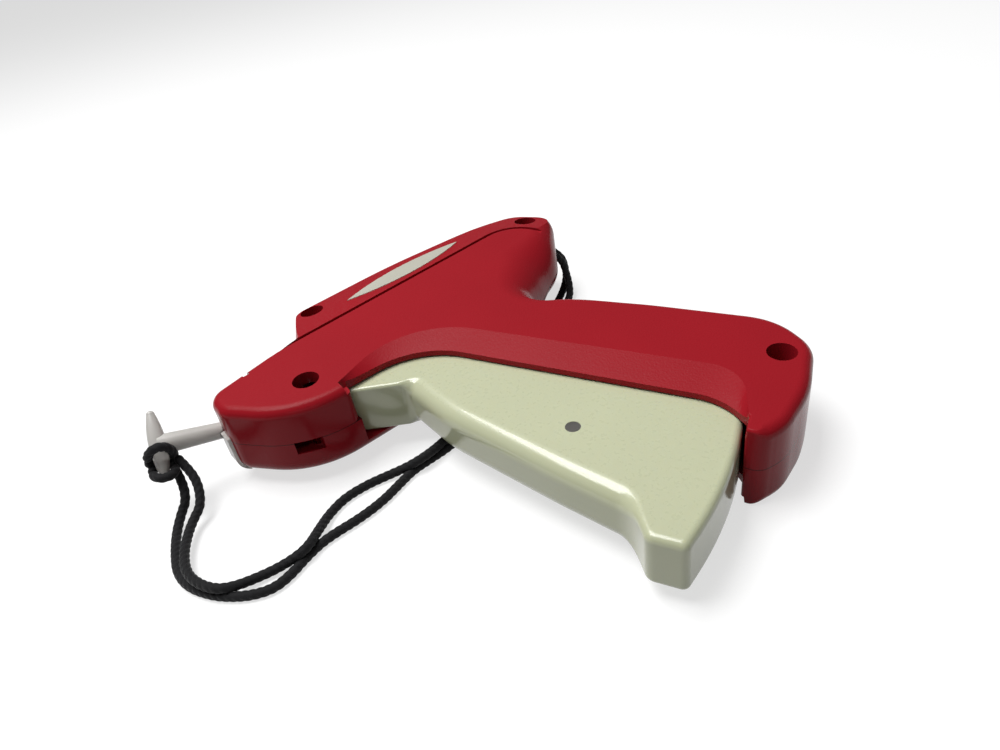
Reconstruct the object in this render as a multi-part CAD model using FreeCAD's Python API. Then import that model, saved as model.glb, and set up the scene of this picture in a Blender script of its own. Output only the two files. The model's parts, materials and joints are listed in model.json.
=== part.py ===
import FreeCAD, Part
import math
import os

# Garment tag attacher lying on its side, millimetres, +Z up.
# It is drawn flat first: X runs from the needle nose to the rear, Y from the
# handle up to the top ridge, Z = 0 is the lower side face. The last section
# tips it about X, because it lies on its own lanyard, and centres it.

V = FreeCAD.Vector


def polar(centre, r, degrees):
    a = math.radians(degrees)
    return (centre[0] + r * math.cos(a), centre[1] + r * math.sin(a))


TRIGGER_PIVOT = (34.1, -14.1)
TRIGGER_R = 113.6         # radius of the trigger's lower end about its pivot


def tail_corner(room, degrees, r):
    """Corner near the trigger's lower end, by its distance outside that end's arc."""
    return polar(TRIGGER_PIVOT, TRIGGER_R + room, degrees) + (r,)


# Casing
CASE_T = 25.0             # thickness over both side faces
MID = CASE_T / 2          # parting plane
SIDE_WALL = 3.9           # side wall of each half
EDGE_R = 3.0              # rounding of the upper half's outer edge
LOW_EDGE_R = 5.0          # rounding of the lower half's outer edge
HOOK_R = 3.0              # rounding round the handle's end
RIM_R = 0.8               # rounding beside the trigger opening, cut away by the band
FILLET_ROOM = 10.0        # extra depth below the parting plane for the large rounding
STRIP_ANGLE = 9.0         # slope of the upper strip towards the ridge
STRIP_REACH = 22.0        # strip's width that the slope is drawn over
GROOVE_W = 1.9            # groove along the strip's border
GROOVE_DEPTH = 1.2
BAND_DROP = 2.4           # fall of the band beside the trigger opening
RUN = 0.05                # radial clearance of a shaft in its hole
GAP = 0.3                 # clearance of moving flat faces

# Outline corners at the parting plane: x, y, corner radius. The nose comes last;
# the lower half's cheek runs on under the trigger's front
RIM_CORNER = (93.2, -104.0, 18)
HOOK_CORNER = tail_corner(1.4, -60.95, 1.0)
CASE_BACK = [
    (-2.2, 5.0, 6), (30.8, 12.7, 2), (39.8, 30.3, 5.6), (78, 31.7, 150), (111, 28.0, 100),
    (131.5, 22.6, 10), (139.6, 8.8, 9), (124, -10, 40), (110, -18.5, 30), (94.8, -27.3, 9),
    (114.1, -61.4, 120), tail_corner(12.0, -40.2, 20), tail_corner(18.6, -46.6, 13),
    tail_corner(15.5, -54.5, 40), tail_corner(10.6, -61.0, 16), tail_corner(5.6, -63.9, 4.5),
    tail_corner(1.2, -63.55, 1.0), HOOK_CORNER, RIM_CORNER,
]
CASE_NOSE = [(12.5, -25.2, 30), (-2.4, -5, 7)]
CASE = CASE_BACK + [(56, -20.4, 24), (30, -20.6, 1), (29.6, -25.1, 2.2)] + CASE_NOSE
CASE_LOW = CASE_BACK + [(56, -20.4, 8), (45, -25.0, 12)] + CASE_NOSE
# Rounding under the barrel's rear: place on the outline and radius
UNDER = [((139.6, 8.8), 4.0), ((131.0, -1.0), 9.0), ((117.0, -14.5), 17.0), ((104.0, -22.0), 14.0),
         ((94.8, -27.3), 8.0), ((103.0, -42.0), 3.0)]
# Inner outline of the casing; between the last two stretches it runs outside,
# where the trigger comes through
CAVITY = [
    (0.4, 3.4, 4), (31.8, 10.2, 2), (41.4, 27.4, 3), (78, 29, 150), (110.5, 25.2, 100),
    (128.6, 20.4, 8), (134.6, 9.9, 5), (118.5, -4.0, 40), (106, -10.8, 30), (91.6, -22.8, 6),
    (88.5, -29.5, 10), (111.0, -62.4, 120), tail_corner(9.9, -41.4, 14), tail_corner(15.8, -47.0, 9),
    tail_corner(12.8, -54.1, 35), tail_corner(8.9, -59.5, 2), tail_corner(1.3, -58.2, 1),
    tail_corner(0.6, -63.86, 1), tail_corner(-6.3, -65.85, 5), (42, -40, 5),
    (30, -30, 3), (30, -22.4, 0.5), (20, -21.9, 10), (6.2, -13.4, 7), (0.3, -4.2, 5),
]
# Corners of the sloped band beside the trigger opening, on the face and at the rim
BAND_FACE = [(28, -20.9, 0), (60.5, -8.5, 26), (104.3, -102.5, 12), HOOK_CORNER[:2] + (0,), (28, -150, 0)]
BAND_RIM = [(28, -21.3, 0), (55.6, -21.1, 24), (92.4, -103.8, 18), tail_corner(1.2, -61.4, 0), (28, -150, 0)]
BAND_FACE_LOW = [(44, -25.2, 0), (60.5, -8.5, 20)] + BAND_FACE[2:4] + [(44, -150, 0)]
BAND_RIM_LOW = [(44, -25.6, 0), (56.4, -20.8, 7)] + BAND_RIM[2:4] + [(44, -150, 0)]
# Border of the upper strip: straight stretch, then its turn down at the rear
GROOVE_A = (30.0, 9.2)
GROOVE_TURN = (121.5, 14.3)
GROOVE_TURN_R = 12.0
GROOVE_END = (127.0, 0.5)
# Screws: three near the outline's corners and one in the nose
SCREWS = [(22.2, -12.0), tail_corner(9.6, -48.1, 0)[:2], (44.0, 26.3), (130.6, 14.1)]
RECESS_R = 4.0
RECESS_DEPTH = 8.0
PIN_END = 23.0            # height where the pins end in the upper half
NOSE_SOLID_X = (-2.0, 4.5)
BOSS_R = 4.9
SCREW_HEAD_R = 2.9
SCREW_HEAD_T = 2.0
SCREW_SHANK_R = 1.3
SCREW_SEAT = 5.0          # height of the head's seat in the lower half
SCREW_TIP = 16.0          # height of the screw's tip in the upper half

# Trigger, swung about a pin in the nose
TRIGGER_T = 16.0
TRIGGER_WALL = 2.2
TRIGGER_SWING = 16.0
TRIGGER_ROUND = 5.0       # edges of the grip
TRIGGER_EDGE = 1.0        # edges of its flat top
TAIL_EDGE = 2.0           # edges of its lower end
TRIGGER_PIN_R = 2.0
TRIGGER_HUB_R = 4.6
LINK_PIN = (62.4, -81.6)
LINK_PIN_R = 2.1
TAIL_ANGLES = (-80.2, -58.6)
TRIGGER_FRONT = [(30.2, -20.7, 0), (43.9, -31.0, 4), (43.1, -50, 60), (48.7, -89, 150),
                 tail_corner(-15.4, -79.2, 13), tail_corner(-7.7, -82.7, 3.2), tail_corner(1.1, -81.3, 2.0)]
TRIGGER_REAR = [tail_corner(-12.1, -54.26, 40), (59.5, -17.8, 18), (38.6, -8.6, 4.6), (29.2, -8.9, 4.6)]
HOLLOW = [(40, -6, 0), (38.5, -22, 4), (48, -34.5, 5), (47.3, -50, 60), (52.8, -89, 150),
          tail_corner(-8.3, -78.6, 3), tail_corner(-4.4, -69.7, 60), tail_corner(-6.7, -57.2, 3),
          tail_corner(-1.4, -50.8, 0), (75, -6, 0)]

# Rocker and links that turn the squeeze into the slide's stroke
ROCKER_PIVOT = (70.0, -16.0)
ROCKER_PIN_R = 2.5
ROCKER_HUB_R = 5.0
ROCKER_T = 4.6
HUB_Z = (7.0, 15.4)
SPRING_POST_R = 3.4
SPRING_WIRE = 0.9
CRANK_R = 17.0
CRANK_ANGLE = -50.0
ROCKER_TURN = 50.37
ARM_LENGTH = 34.0
ARM_TIP_R = 2.5
ARM_WIDTH = 3.8
CRANK_PIN_R = 1.5
LINK_T = 3.0
LINK_EYE_R = 2.9
LINK_EYE_WALL = 1.6
LINK_WIDTH = 6.4

# Slide, push rod and needle on the barrel line
BARREL_Y = 4.1
SLIDE_FRONT = 15.0        # from the fork to the front of the cheeks
SLIDE_REAR = 6.0
SLIDE_LOW = 9.0
SLIDE_TOP = 20.4
SLOT_FRONT = 12.0         # from the fork to the end of the rocker's slot
FORK_DEPTH = 1.2          # depth of the fork below the rocker's tip
LEG_FRONT = 22.0
LEG_Y = (0.5, 12.2)
LEG_T = 5.0
ROD_R = 0.38
ROD_TIP = 21.2
ROD_SEAT = 6.0            # length of the rod inside the slide
NEEDLE_R = 0.65
NEEDLE_BORE = 0.45
NEEDLE_SLOT = 0.5
NEEDLE_TIP = -7.5
NEEDLE_ROOT = 9.0
HOLDER_X = (4.5, 9.6)
HOLDER_Y = (-3.6, 5.5)
HOLDER_Z = (6.5, 18.5)
NECK_Y = (-3.4, 1.0)
NECK_Z = (6.5, 13.4)
PLATE_FACE = -2.3         # front wall that the needle's plate lies on
PLATE_T = 1.0
PLATE_Y = (-3.4, 1.6)
PLATE_TOP = 13.4
PLATE_WRAP = 62.0         # angle that the plate follows the rounding by
GUIDE_X = (20.0, 27.0)    # block that guides the push rod
GUIDE_Y = (1.6, 6.6)
RAIL_T = 1.6
LOW_RAIL_X = (27.0, 92.0)
TOP_RAIL_X = (42.0, 92.0)

# Clip channel across the nose and its feed wheel
CHANNEL_X = (10.3, 17.7)
CHANNEL_Z = (8.4, 12.8)
NOTCH_X = (9.9, 11.9)
NOTCH_Y = 5.0
NOTCH_Z = 17.0
WHEEL_Y = -4.5
WHEEL_R = 2.2
WHEEL_ROOT_R = 1.4
WHEEL_TEETH = 8
SHAFT_R = 0.7
SHAFT_X = (8.2, 21.6)
SHAFT_RIB_T = 2.0
SHAFT_RIB_Y = (-8.4, -0.9)
RATCHET_T = 1.4
WHEEL_Z = CHANNEL_Z[0] + 0.2 - WHEEL_R
LEAF_T = 0.4
LEAF_FOOT_Y = (-14.5, -12.0)
KNIFE_T = 0.35
KNIFE_Y = (5.0, 6.0)
KNIFE_Z = (9.0, 16.0)

# Label on the strip
LABEL_A = (54.9, 20.0)
LABEL_B = (104.2, 22.6)
LABEL_W = 9.6
LABEL_T = 0.6
LABEL_PROUD = 0.25

# Cap over the needle, a tapered sleeve with a cross bar
CAP_MOUTH = (-4.1, 4.3, 12.9)
CAP_AXIS = (-0.9603, 0.1960, 0.1985)
CAP_LENGTH = 16.0         # mouth to the middle of the bar
CAP_REACH = 4.0           # sleeve past the mouth, trimmed to the nose
CAP_R_MOUTH = 2.45
CAP_R_BAR = 3.1
CAP_BORE_R = 2.15
CAP_BORE_DEPTH = 13.0
BAR_DIR = (0.273, 0.596, 0.755)
BAR_HALF = 10.4
BAR_R = 2.5
BAR_END_R = 1.2

# Lanyard: a doubled cord, hitched on the cap's bar and looped on a pin in the rear
CORD_R = 1.3
HITCH_AT = (-4.5, -6.7)   # its two turns, measured down the bar from the middle
HITCH_R = 3.4
EYE = (127.3, 6.0)
EYE_Z = 16.3
EYE_PIN_R = 1.5
EYE_HOLE_R = 3.0
EYE_IN = (130.2, 3.4, 15.8)
EYE_OUT = (134.3, -0.3, 12.0)
LAY_GAP = 0.4             # spare height over the cord under the casing
LAY_REACH = 88.0          # handle edge to the place where the cord goes under
LAY_ANGLE = math.degrees(math.asin((2 * CORD_R + LAY_GAP) / LAY_REACH))
# Routes of the two strands as they lie, from the hitch to the eye
STRAND_A = [
    (-16.3, 1.95, 14.2), (-15.4, -3.2, 9.6), (-18.2, -8.2, 4.6), (-23.2, -12.8, 1.7), (-28.0, -18.4, 1.3),
    (-30.2, -26, 1.3), (-29.4, -33.5, 1.3), (-25.8, -39.5, 1.3), (-19.5, -43.2, 1.3), (-12, -45, 1.3),
    (-4.5, -44.2, 1.3), (3.5, -39.8, 1.3), (12, -36.2, 1.3), (22, -35.6, 1.3), (33, -38, 1.3),
    (45, -39.2, 1.3), (58, -35.8, 1.3), (72, -30.2, 1.3), (87, -24.0, 1.3), (102, -16.9, 1.3),
    (116, -10.6, 1.3), (128.2, -4.4, 1.45), (134.9, -1.3, 4.7), (136.3, -0.3, 9.8), (135.3, 0.4, 15.6),
    (131.2, 3.9, 19.5)]
STRAND_B = [
    (-19.4, 1.0, 12.0), (-20.0, -3.2, 7.2), (-23.0, -8.2, 3.2), (-28.0, -12.8, 1.4), (-32.0, -19.4, 1.3),
    (-33.8, -27.6, 1.3), (-32.4, -36, 1.3), (-27.6, -43.4, 1.3), (-19.8, -48.6, 1.3), (-11, -50.6, 1.3),
    (-2.5, -49, 1.3), (5, -47.2, 1.3), (13, -47.4, 1.3), (23, -46.6, 1.3), (33.5, -43.6, 1.3),
    (46, -42.4, 1.3), (59, -38.8, 1.3), (73.2, -33.1, 1.3), (88.3, -26.9, 1.3), (103.2, -19.8, 1.3),
    (117.2, -13.5, 1.3), (129.6, -8.2, 1.45), (133.2, -5.1, 4.3), (134.3, -2.5, 9.8), (133.3, -1.8, 15.6),
    (129.2, 1.7, 19.5)]


def cylinder(x, y, z0, z1, r):
    return Part.makeCylinder(r, z1 - z0, V(x, y, z0))


def block(xs, ys, zs):
    return Part.makeBox(xs[1] - xs[0], ys[1] - ys[0], zs[1] - zs[0], V(xs[0], ys[0], zs[0]))


def unit(a, b):
    d = V(b[0] - a[0], b[1] - a[1], 0)
    return d.normalize()


def tangent_length(prev, here, nxt, r):
    """Length that a corner of radius r takes from both of its sides."""
    u, w = unit(here, prev), unit(here, nxt)
    return r / math.tan(max(u.getAngle(w), 0.01) / 2)


def outline(corners, z=0.0):
    """Closed wire through corners (x, y, radius), each rounded by a tangent arc."""
    n = len(corners)
    takes = [tangent_length(corners[i - 1], corners[i], corners[(i + 1) % n], corners[i][2])
             for i in range(n)]
    starts, mids, ends = [], [], []
    for i, (x, y, r) in enumerate(corners):
        before, after = corners[i - 1], corners[(i + 1) % n]
        room = 1.0
        for other, j in ((before, i - 1), (after, (i + 1) % n)):
            side = math.hypot(other[0] - x, other[1] - y)
            if takes[i] + takes[j] > side:
                room = min(room, 0.999 * side / (takes[i] + takes[j]))
        u, w = unit((x, y), before), unit((x, y), after)
        p = V(x, y, z)
        take = takes[i] * room
        half = u.getAngle(w) / 2
        starts.append(p + u * take)
        ends.append(p + w * take)
        mids.append(p + (u + w).normalize() * (r * room / math.sin(half) - r * room))
    edges = []
    for i in range(n):
        if (starts[i] - ends[i]).Length > 1e-6:
            edges.append(Part.Arc(starts[i], mids[i], ends[i]).toShape())
        if (starts[(i + 1) % n] - ends[i]).Length > 1e-6:
            edges.append(Part.LineSegment(ends[i], starts[(i + 1) % n]).toShape())
    return Part.Wire(edges)


def slab(corners, z0, z1):
    return Part.Face(outline(corners, z0)).extrude(V(0, 0, z1 - z0))


def capsule(a, b, r, z0, z1):
    """Bar with round ends from a to b."""
    d = unit(a, b)
    side = V(-d.y, d.x, 0) * r
    pa, pb = V(a[0], a[1], z0), V(b[0], b[1], z0)
    wire = Part.Wire([
        Part.LineSegment(pa + side, pb + side).toShape(),
        Part.Arc(pb + side, pb + d * r, pb - side).toShape(),
        Part.LineSegment(pb - side, pa - side).toShape(),
        Part.Arc(pa - side, pa - d * r, pa + side).toShape(),
    ])
    return Part.Face(wire).extrude(V(0, 0, z1 - z0))


def flip(shape):
    """The same shape on the other side of the parting plane."""
    return shape.mirror(V(0, 0, MID), V(0, 0, 1))


def strip_border(grow, z):
    """Outline of all that lies on the face's side of the strip's border, grown outwards."""
    along, down = unit(GROOVE_A, GROOVE_TURN), unit(GROOVE_TURN, GROOVE_END)
    up, out = V(-along.y, along.x, 0), V(-down.y, down.x, 0)
    a = V(*GROOVE_A) - along * CASE[4][0] + up * grow
    turn = V(*GROOVE_TURN) + (up + out) * (grow / (1 + up.dot(out)))
    end = V(*GROOVE_END) + down * 40 + out * grow
    far = CASE[4][0] * 1.5
    corners = [(a.x, a.y, 0), (turn.x, turn.y, GROOVE_TURN_R + grow), (end.x, end.y, 0),
               (far, -far, 0), (a.x, -far, 0)]
    return outline(corners, z)


def strip_mesa():
    """Space under the strip's sloped surface and under the main face."""
    fall = STRIP_REACH * math.tan(math.radians(STRIP_ANGLE))
    base = Part.Face(strip_border(STRIP_REACH, 0)).extrude(V(0, 0, CASE_T - fall))
    slope = Part.makeLoft([strip_border(STRIP_REACH, CASE_T - fall), strip_border(0, CASE_T)], True, True)
    return base.fuse(slope)


def groove():
    low = CASE_T - GROOVE_DEPTH
    wide = Part.Face(strip_border(GROOVE_W, low)).extrude(V(0, 0, GROOVE_DEPTH + 1))
    return wide.cut(Part.Face(strip_border(0, low - 1)).extrude(V(0, 0, GROOVE_DEPTH + 3)))


def band_cutter(rim, face):
    """Space above the band that falls towards the trigger opening."""
    low = outline(rim, CASE_T - BAND_DROP)
    high = outline(face, CASE_T)
    top = outline(face, CASE_T + 5)
    lower = Part.makeLoft([low, high], True, True)
    upper = Part.makeLoft([high, top], True, True)
    return lower.fuse(upper)


def soften(body, radii):
    """Body with the edges (number, first radius, last radius) rounded."""
    doc = FreeCAD.newDocument("rounding")
    base = doc.addObject("Part::Feature", "base")
    base.Shape = body
    fillet = doc.addObject("Part::Fillet", "fillet")
    fillet.Base = base
    fillet.Edges = radii
    doc.recompute()
    shape = fillet.Shape.copy()
    FreeCAD.closeDocument(doc.Name)
    return shape


def under_radius(p):
    """Radius at a point of the outline under the barrel's rear, or 0 elsewhere."""
    best, radius = 6.0, 0.0
    for (a, ra), (b, rb) in zip(UNDER, UNDER[1:]):
        a, b = V(*a), V(*b)
        t = min(1.0, max(0.0, (p - a).dot(b - a) / (b - a).dot(b - a)))
        off = (p - (a + (b - a) * t)).Length
        if off < best:
            best, radius = off, ra + (rb - ra) * t
    return radius


def edge_radius(p, edge_r, rim_start):
    p = V(p.x, p.y, 0)
    if rim_start < p.x < RIM_CORNER[0] and HOOK_CORNER[1] - 0.3 < p.y < -20.2:
        return RIM_R
    outside = math.hypot(p.x - TRIGGER_PIVOT[0], p.y - TRIGGER_PIVOT[1]) - TRIGGER_R
    if outside > 0 and p.x < 108:
        return RIM_R if outside < HOOK_R + 0.6 else HOOK_R
    return max(edge_r, under_radius(p))


def rounded_slab(corners, edge_r, rim_start):
    """Block of one half with its outer edge rounded."""
    body = slab(corners, MID - FILLET_ROOM, CASE_T)
    radii = []
    for i, edge in enumerate(body.Edges):
        if edge.BoundBox.ZMin < CASE_T - 0.01:
            continue
        first = edge.valueAt(edge.FirstParameter)
        last = edge.valueAt(edge.LastParameter)
        radii.append((i + 1, edge_radius(first, edge_r, rim_start), edge_radius(last, edge_r, rim_start)))
    return soften(body, radii).cut(block((-50, 200), (-200, 100), (-50, MID)))


def posts(points, z0, z1, r):
    return [cylinder(x, y, z0, z1, r) for x, y in points]


def pin_seat(point, face, r, pin_r):
    """Post on a side wall up to face, and the blind hole that holds a pin in it."""
    post = cylinder(point[0], point[1], CASE_T - SIDE_WALL - 0.5, CASE_T - 1.0, r)
    if face < CASE_T - SIDE_WALL:
        post = post.fuse(cylinder(point[0], point[1], face, CASE_T - SIDE_WALL, r))
    hole = cylinder(point[0], point[1], face - 1, PIN_END, pin_r + RUN)
    return post, hole


def housing_half(outer, features, holes):
    """Shell of a half with what stands on its side wall, less the holes."""
    outer = outer.common(strip_mesa()).cut(groove())
    shell = outer.cut(slab(CAVITY, MID - 1, CASE_T - SIDE_WALL))
    inside = Part.makeCompound(features).common(outer)
    shell = shell.fuse(inside.Solids)
    for hole in holes:
        shell = shell.cut(hole)
    return shell.removeSplitter()


def shared_features():
    """Ribs, rails and posts that both halves have, as they stand in the upper one."""
    wall = CASE_T - SIDE_WALL
    rail_z = (MID + ROCKER_T / 2 + 0.5, wall + 0.5)
    low_y = SLIDE_LOW - RUN * 4
    top_y = SLIDE_TOP + RUN * 4
    ribs_x = ((HOLDER_X[1] - SHAFT_RIB_T + RUN, HOLDER_X[1] + RUN), (GUIDE_X[0], GUIDE_X[0] + SHAFT_RIB_T))
    features = posts(SCREWS, MID, CASE_T - 1, BOSS_R)
    features += [
        block(LOW_RAIL_X, (low_y - RAIL_T, low_y), rail_z),
        block(TOP_RAIL_X, (top_y, top_y + RAIL_T), rail_z),
        block(GUIDE_X, GUIDE_Y, (MID, wall + 0.5)),
    ]
    features += [block(xs, (SHAFT_RIB_Y[0], HOLDER_Y[0] - GAP), (MID, wall + 0.5)) for xs in ribs_x]
    features.append(block((NOSE_SOLID_X[0], HOLDER_X[1] + GAP), (-2, 7), (MID, wall + 0.5)))
    return features


def shared_holes():
    holder = block((HOLDER_X[0] - GAP, HOLDER_X[1] + GAP), (HOLDER_Y[0] - RUN, HOLDER_Y[1] + RUN),
                   (MID - (HOLDER_Z[1] - MID) - RUN, HOLDER_Z[1] + RUN))
    needle = Part.makeCylinder(NEEDLE_R + GAP, 14, V(-8, BARREL_Y, MID), V(1, 0, 0))
    rod = Part.makeCylinder(ROD_R + RUN, 30, V(GUIDE_X[0] - 5, BARREL_Y, MID), V(1, 0, 0))
    neck = block((-9, HOLDER_X[0]), (NECK_Y[0] - RUN, NECK_Y[1] + RUN), (NECK_Z[0] - RUN, NECK_Z[1] + RUN))
    channel = block(CHANNEL_X, (-30, 20), CHANNEL_Z)
    blade = block((HOLDER_X[1], HOLDER_X[1] + KNIFE_T + RUN), (KNIFE_Y[0] - RUN, KNIFE_Y[1] + RUN),
                  (KNIFE_Z[0] - RUN, KNIFE_Z[1] + RUN))
    pocket = cylinder(EYE[0], EYE[1], MID - 1, EYE_Z + CORD_R + GAP, EYE_PIN_R + 2 * CORD_R + 2 * GAP)
    aim = (V(*EYE_OUT) - V(*EYE_IN)).normalize()
    eye = Part.makeCylinder(EYE_HOLE_R, 16, V(*EYE_IN) - aim * 3, aim)
    return [holder, needle, rod, neck, channel, blade, pocket, eye]


def upper_housing():
    features = shared_features()
    holes = shared_holes()
    trigger_face = MID + TRIGGER_T / 2 + GAP
    for point, face, r, pin_r in (
            (TRIGGER_PIVOT, trigger_face, TRIGGER_HUB_R, TRIGGER_PIN_R),
            (ROCKER_PIVOT, HUB_Z[1] + GAP, SPRING_POST_R, ROCKER_PIN_R),
            (EYE, EYE_Z + CORD_R + GAP, EYE_PIN_R + 1.5, EYE_PIN_R)):
        post, hole = pin_seat(point, face, r, pin_r)
        features.append(post)
        holes.append(hole)
    for x, y in SCREWS:
        holes.append(cylinder(x, y, CASE_T - RECESS_DEPTH, CASE_T + 3, RECESS_R))
        holes.append(cylinder(x, y, MID - 1, SCREW_TIP + GAP, SCREW_SHANK_R + RUN))
    holes.append(block(NOTCH_X, (NOTCH_Y, 20), (NOTCH_Z, CASE_T + 1)))
    holes.append(label(RUN, 0.0).fuse(label(RUN, 0.0).translated(V(0, 0, 2))))
    outer = rounded_slab(CASE, EDGE_R, 29.5).cut(band_cutter(BAND_RIM, BAND_FACE))
    return housing_half(outer, features, holes)


def lower_housing(outer):
    """Made as an upper half and mirrored about the parting plane."""
    features = shared_features()
    holes = [flip(h) for h in shared_holes()]
    trigger_face = MID + TRIGGER_T / 2 + GAP
    for point, face, r, pin_r in (
            (TRIGGER_PIVOT, trigger_face, TRIGGER_HUB_R, TRIGGER_PIN_R),
            (ROCKER_PIVOT, CASE_T - HUB_Z[0] + GAP, SPRING_POST_R, ROCKER_PIN_R),
            (EYE, MID, EYE_PIN_R + 1.5, EYE_PIN_R)):
        post, hole = pin_seat(point, face, r, pin_r)
        features.append(post)
        holes.append(hole)
    leaf_x = (CHANNEL_X[1] + GAP, CHANNEL_X[1] + GAP + RATCHET_T)
    features.append(block(leaf_x, LEAF_FOOT_Y, (CASE_T - WHEEL_Z + LEAF_T / 2, CASE_T - SIDE_WALL + 0.5)))
    holes.append(block((leaf_x[0] - RUN, leaf_x[1] + RUN), (LEAF_FOOT_Y[0] - RUN, WHEEL_Y),
                       (MID - 1, CASE_T - WHEEL_Z + LEAF_T / 2)))
    for x, y in SCREWS:
        holes.append(cylinder(x, y, CASE_T - SCREW_SEAT, CASE_T + 3, SCREW_HEAD_R + 2 * GAP))
        holes.append(cylinder(x, y, MID - 1, CASE_T, SCREW_SHANK_R + RUN))
    groove_z = CASE_T - WHEEL_Z
    holes.append(Part.makeCylinder(SHAFT_R + RUN, SHAFT_X[1] - SHAFT_X[0] + 2 * GAP,
                                   V(SHAFT_X[0] - GAP, WHEEL_Y, groove_z), V(1, 0, 0)))
    holes.append(block((SHAFT_X[0] - GAP, SHAFT_X[1] + GAP), (WHEEL_Y - SHAFT_R - RUN, WHEEL_Y + SHAFT_R + RUN),
                       (MID - 1, groove_z)))
    return flip(housing_half(outer, features, holes))


def screws():
    made = []
    for x, y in SCREWS:
        head = cylinder(x, y, SCREW_SEAT - SCREW_HEAD_T, SCREW_SEAT, SCREW_HEAD_R)
        cross = block((x - 2, x + 2), (y - 0.4, y + 0.4), (SCREW_SEAT - SCREW_HEAD_T - 1, SCREW_SEAT - 1.0))
        cross = cross.fuse(block((x - 0.4, x + 0.4), (y - 2, y + 2),
                                 (SCREW_SEAT - SCREW_HEAD_T - 1, SCREW_SEAT - 1.0)))
        shank = cylinder(x, y, SCREW_SEAT, SCREW_TIP, SCREW_SHANK_R)
        made.append(head.cut(cross).fuse(shank).removeSplitter())
    return Part.makeCompound(made)


def trigger_rounding(point):
    """Edge radius along the trigger's outline: wide on the grip, small at its ends."""
    if point.y > -33:
        return TRIGGER_EDGE
    if point.y > -114 and point.x < 60:
        return TRIGGER_ROUND
    return TAIL_EDGE


def trigger():
    tail = polar(TRIGGER_PIVOT, TRIGGER_R, TAIL_ANGLES[1])
    half = math.radians(TAIL_ANGLES[1] - TAIL_ANGLES[0]) / 2
    middle = polar(TRIGGER_PIVOT, TRIGGER_R / math.cos(half), sum(TAIL_ANGLES) / 2)
    corners = TRIGGER_FRONT + [middle + (TRIGGER_R,), (tail[0] + 1.6, tail[1] + 1.0, 0)] + TRIGGER_REAR
    z0, z1 = MID - TRIGGER_T / 2, MID + TRIGGER_T / 2
    body = slab(corners, z0, z1)
    radii = []
    for i, edge in enumerate(body.Edges):
        if edge.BoundBox.ZLength > 0.01 or not is_outer_edge(edge):
            continue
        first = edge.valueAt(edge.FirstParameter)
        last = edge.valueAt(edge.LastParameter)
        radii.append((i + 1, trigger_rounding(first), trigger_rounding(last)))
    body = soften(body, radii)
    body = body.cut(slab(HOLLOW, z0 + TRIGGER_WALL, z1 - TRIGGER_WALL))
    body = body.cut(cylinder(TRIGGER_PIVOT[0], TRIGGER_PIVOT[1], 0, CASE_T, TRIGGER_PIN_R + RUN))
    body = body.cut(cylinder(LINK_PIN[0], LINK_PIN[1], 0, CASE_T, LINK_PIN_R))
    return body


def is_outer_edge(edge):
    """Edges of the trigger's front and lower end, which show outside the casing."""
    c = edge.CenterOfMass
    return c.y < -21 and c.x < 52.5 or c.y < -107


def rocker():
    tip = polar(ROCKER_PIVOT, ARM_LENGTH, 90 - ROCKER_TURN / 2)
    pin = polar(ROCKER_PIVOT, CRANK_R, CRANK_ANGLE)
    z0, z1 = MID - ROCKER_T / 2, MID + ROCKER_T / 2
    body = capsule(ROCKER_PIVOT, tip, ARM_WIDTH / 2, z0, z1)
    body = body.fuse(cylinder(tip[0], tip[1], z0, z1, ARM_TIP_R))
    body = body.fuse(capsule(ROCKER_PIVOT, pin, CRANK_PIN_R + 1.7, z0, z1))
    body = body.fuse(cylinder(ROCKER_PIVOT[0], ROCKER_PIVOT[1], HUB_Z[0], HUB_Z[1], ROCKER_HUB_R))
    body = body.cut(cylinder(ROCKER_PIVOT[0], ROCKER_PIVOT[1], 0, CASE_T, ROCKER_PIN_R + RUN))
    return body.cut(cylinder(pin[0], pin[1], 0, CASE_T, CRANK_PIN_R)).removeSplitter()


def drive_link(z0):
    pin = polar(ROCKER_PIVOT, CRANK_R, CRANK_ANGLE)
    body = capsule(LINK_PIN, pin, LINK_WIDTH / 2, z0, z0 + LINK_T)
    body = body.fuse(cylinder(pin[0], pin[1], z0, z0 + LINK_T, LINK_EYE_R + LINK_EYE_WALL))
    body = body.cut(cylinder(pin[0], pin[1], z0 - 1, z0 + LINK_T + 1, LINK_EYE_R))
    return body.cut(cylinder(LINK_PIN[0], LINK_PIN[1], z0 - 1, z0 + LINK_T + 1, LINK_PIN_R + RUN)).removeSplitter()


def slide():
    """Two cheeks with a fork for the rocker's tip, and a leg that holds the rod."""
    tip = polar(ROCKER_PIVOT, ARM_LENGTH, 90 - ROCKER_TURN / 2)
    wall = SIDE_WALL + GAP
    body = block((tip[0] - SLIDE_FRONT, tip[0] + SLIDE_REAR), (SLIDE_LOW, SLIDE_TOP), (wall, CASE_T - wall))
    low = tip[1] - FORK_DEPTH
    arm_z = (MID - ROCKER_T / 2 - GAP, MID + ROCKER_T / 2 + GAP)
    body = body.cut(block((tip[0] - SLOT_FRONT, tip[0] + SLIDE_REAR + 1), (SLIDE_LOW - 1, low), arm_z))
    reach = ARM_TIP_R + GAP
    body = body.cut(block((tip[0] - reach, tip[0] + reach), (SLIDE_LOW - 1, SLIDE_TOP + 1), arm_z))
    leg = block((tip[0] - LEG_FRONT, tip[0] - SLOT_FRONT), LEG_Y, (MID - LEG_T / 2, MID + LEG_T / 2))
    body = body.fuse(leg)
    rod = Part.makeCylinder(ROD_R, ROD_SEAT, V(tip[0] - LEG_FRONT, BARREL_Y, MID), V(1, 0, 0))
    return body.cut(rod).removeSplitter()


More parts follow.
